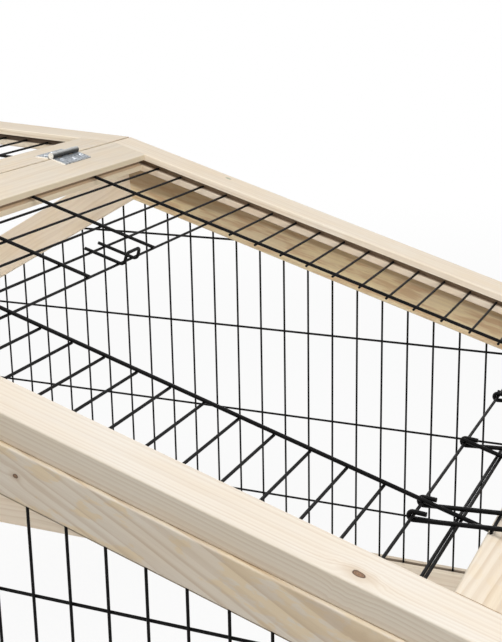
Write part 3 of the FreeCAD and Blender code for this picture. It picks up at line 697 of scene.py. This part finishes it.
def separateSolids(node):  # points of each solid in a node
    shape = bmesh.new()
    shape.from_mesh(nodes[node].data)
    bmesh.ops.remove_doubles(shape, verts=shape.verts, dist=screwForm["weld"])
    left, solids = set(shape.verts), []
    while left:
        solid, waiting = set(), [next(iter(left))]
        while waiting:
            vertex = waiting.pop()
            if vertex in solid:
                continue
            solid.add(vertex)
            waiting += [link.other_vert(vertex) for link in vertex.link_edges]
        left -= solid
        solids.append([vertex.co.copy() for vertex in solid])
    shape.free()
    return solids


def screwSpots(node, axis, side, third):  # top of each screw's head, and the screw's length
    found = []
    for places in separateSolids(node):
        middle = Vector()
        for direction in (side, third):
            spread = [place.dot(direction) for place in places]
            middle += direction * (max(spread) + min(spread)) / 2
        heights = [place.dot(axis) for place in places]
        found.append((middle + axis * max(heights), max(heights) - min(heights)))
    return sorted(found, key=lambda spot: tuple(round(value, 5) for value in spot[0]))


def inPairs(points):  # each point with the next one round a loop
    return zip(points, points[1:] + points[:1])


def cutScrew(shape, head, top, long, axis, x, y):
    def ring(radius, height):
        corners = screwForm["corners"]
        angles = [2 * math.pi * corner / corners for corner in range(corners)]
        ways = [x * math.cos(angle) + y * math.sin(angle) for angle in angles]
        return [shape.verts.new(top + axis * height + way * radius) for way in ways]

    def skin(low, high, smooth):
        for (lowOne, lowNext), (highOne, highNext) in zip(inPairs(low), inPairs(high)):
            shape.faces.new((lowOne, lowNext, highNext, highOne)).smooth = smooth

    tip, neck = screwForm["shank"]
    profile = [(tip, -long), (neck, -head["high"])]
    profile += [(share, -down * head["high"]) for share, down in screwForm["dome"]]
    rings = [ring(head["wide"] * share, height) for share, height in profile]
    for low, high in zip(rings, rings[1:]):
        skin(low, high, True)
    shape.faces.new(rings[0][::-1])

    arm, half = head["arm"], head["slot"]
    cross = [(arm, -half), (arm, half), (half, half), (half, arm), (-half, arm), (-half, half),
             (-arm, half), (-arm, -half), (-half, -half), (-half, -arm), (half, -arm), (half, -half)]
    rim = [shape.verts.new(top + x * a + y * b) for a, b in cross]
    share = screwForm["slotFloor"]
    deep = [shape.verts.new(top + x * a * share + y * b * share - axis * head["depth"]) for a, b in cross]
    loop = [shape.edges.get(pair) for pair in inPairs(rings[-1])]
    loop += [shape.edges.new(pair) for pair in inPairs(rim)]
    bmesh.ops.triangle_fill(shape, edges=loop, use_beauty=True, normal=axis)
    skin(rim, deep, False)
    shape.faces.new(deep)


def makeScrews(node, size, axis, body):
    shape = bmesh.new()
    side = axis.orthogonal().normalized()
    third = axis.cross(side)
    for index, (top, long) in enumerate(screwSpots(node, axis, side, third)):
        turn = screwForm["firstTurn"] + screwForm["nextTurn"] * index
        x = side * math.cos(turn) + third * math.sin(turn)
        cutScrew(shape, screwHead[size], top, long, axis, x, axis.cross(x))
    bmesh.ops.recalc_face_normals(shape, faces=shape.faces)
    mesh = bpy.data.meshes.new(node + "_cut")
    shape.to_mesh(mesh)
    shape.free()
    piece = bpy.data.objects.new(node + "_cut", mesh)
    bpy.context.scene.collection.objects.link(piece)
    mesh.materials.append(screwFinish)
    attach(piece, body)
    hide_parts(node)


makeScrews("roof_hinge_screws", "hinge", boardAxes("roof_ridge_rail")["axes"][2], "base")
makeScrews("lid_hinge_screws", "hinge", boardAxes("lid_ridge_rail")["axes"][2], "lid")
makeScrews("front_corner_screws", "corner", Vector((0, -1, 0)), "base")
makeScrews("back_corner_screws", "corner", Vector((0, 1, 0)), "base")
print("screws made")

# Stage: white floor and background, soft light from above, from both slopes and low from behind
stageLook = {
    "floorSize": 30.0,
    "floorDrop": 0.0004,     # metres under the cage
    "floorGrey": 0.85,
    "floorWhite": 0.91,      # share of plain white the camera sees under the cage, all white further out
    "whiteFrom": (1.1, 3.2),
    "ambient": 0.29,
    "lamps": {
        "overhead": {"place": (-0.1, -0.2, 1.5), "aim": (0, 0.2, 0.45), "size": 0.45, "power": 4.7},
        "doorSide": {"place": (1.8, -0.5, 1.0), "aim": (-0.2, 0.2, 0.4), "size": 0.8, "power": 26.2},
        "lidSide": {"place": (-1.6, -0.8, 1.3), "aim": (-0.1, 0.1, 0.4), "size": 0.9, "power": 13.9},
        "backFill": {"place": (-0.7, 3.6, 0.5), "aim": (0, 0, 0.3), "size": 0.9, "power": 34.0},
    },
}
plainWhite = {"Color": (1, 1, 1, 1), "Strength": 1.0}


def seenDirectly(start):  # camera, mirror and see-through rays
    rays = [start.node("LightPath", None, None, name)
            for name in ("Is Camera Ray", "Is Glossy Ray", "Is Transmission Ray")]
    return rays[0].larger(rays[1]).larger(rays[2])


def makeFloor():
    bpy.ops.mesh.primitive_plane_add(size=stageLook["floorSize"], location=(0, 0, -stageLook["floorDrop"]))
    floor = bpy.context.object
    floor.name = "floor"
    paint = bpy.data.materials.new("floor_paint")
    paint.use_nodes = True
    start = Signal(paint.node_tree, None)
    spot = start.node("TexCoord", None, None, "Object")
    fade = (spot.dot(spot) ** 0.5).ramp(*stageLook["whiteFrom"]) * (1 - stageLook["floorWhite"])
    share = seenDirectly(start) * (fade + stageLook["floorWhite"])
    matt = start.node("BsdfDiffuse", None, {"Color": (*[stageLook["floorGrey"]] * 3, 1.0)})
    white = start.node("Emission", None, plainWhite)
    mixed = start.node("MixShader", None, {0: share, 1: matt, 2: white})
    outlet = paint.node_tree.nodes["Material Output"].inputs["Surface"]
    paint.node_tree.links.new(mixed.socket, outlet)
    floor.data.materials.append(paint)


def makeLight():
    world = bpy.data.worlds.new("studio")
    bpy.context.scene.world = world
    world.use_nodes = True
    start = Signal(world.node_tree, None)
    soft = start.node("Background", None, {**plainWhite, "Strength": stageLook["ambient"]})
    white = start.node("Background", None, plainWhite)
    mixed = start.node("MixShader", None, {0: seenDirectly(start), 1: soft, 2: white})
    world.node_tree.links.new(mixed.socket, world.node_tree.nodes["World Output"].inputs["Surface"])
    for name, lamp in stageLook["lamps"].items():
        data = bpy.data.lights.new(name, "AREA")
        data.energy = lamp["power"]
        data.size = lamp["size"]
        light = bpy.data.objects.new(name, data)
        light.location = lamp["place"]
        back = Vector(lamp["place"]) - Vector(lamp["aim"])
        light.rotation_euler = back.to_track_quat("Z", "Y").to_euler()
        bpy.context.scene.collection.objects.link(light)
    bpy.context.scene.view_settings.view_transform = "Standard"


makeFloor()
makeLight()
print("stage lit")

# Camera: in front of the near gable, looking over the fixed slope to the ridge
lens = {
    "place": (0.472871, -0.962164, 0.716519),
    "turn": (73.9038, 1.3413, 24.5162),     # degrees
    "focal": 70.7761,
    "sensor": 36.0,
    "shift": 0.04517,
    "nearest": 0.02,                        # metres
}


def makeCamera():
    data = bpy.data.cameras.new("camera")
    data.sensor_width = lens["sensor"]
    data.lens = lens["focal"]
    data.shift_x = lens["shift"]
    data.clip_start = lens["nearest"]
    camera = bpy.data.objects.new("camera", data)
    camera.location = lens["place"]
    camera.rotation_euler = [math.radians(angle) for angle in lens["turn"]]
    bpy.context.scene.collection.objects.link(camera)
    bpy.context.scene.camera = camera
    print("camera set")


makeCamera()
